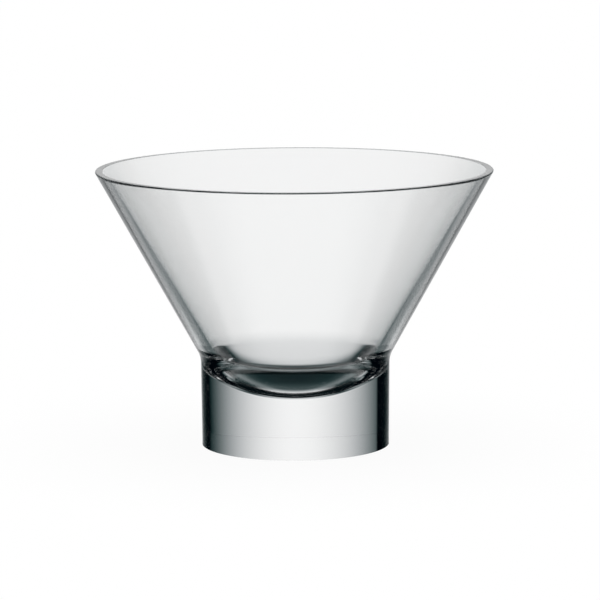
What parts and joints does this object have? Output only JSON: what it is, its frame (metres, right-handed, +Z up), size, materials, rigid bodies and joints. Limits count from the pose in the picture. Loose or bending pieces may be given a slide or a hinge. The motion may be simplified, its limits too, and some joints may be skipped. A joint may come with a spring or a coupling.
{
  "type": "dessert glass",
  "caption": "Clear glass dessert bowl: a straight, thick-walled conical bowl fused onto a short, heavy, solid cylindrical foot; holds ice cream and other served desserts.",
  "frame": {"origin": "middle of the flat base, on the surface that the glass stands on", "axes": "+Z up along the axis of rotation; +X to the right and -Y towards the viewer in the picture"},
  "size_m": [0.128, 0.128, 0.0895],
  "materials": {
    "bowl_glass": "clear, polished, thick wall",
    "foot_glass": "clear, polished, solid"
  },
  "bodies": {
    "root": {"bowl": "bowl_glass", "foot": "foot_glass"}
  },
  "joints": []
}
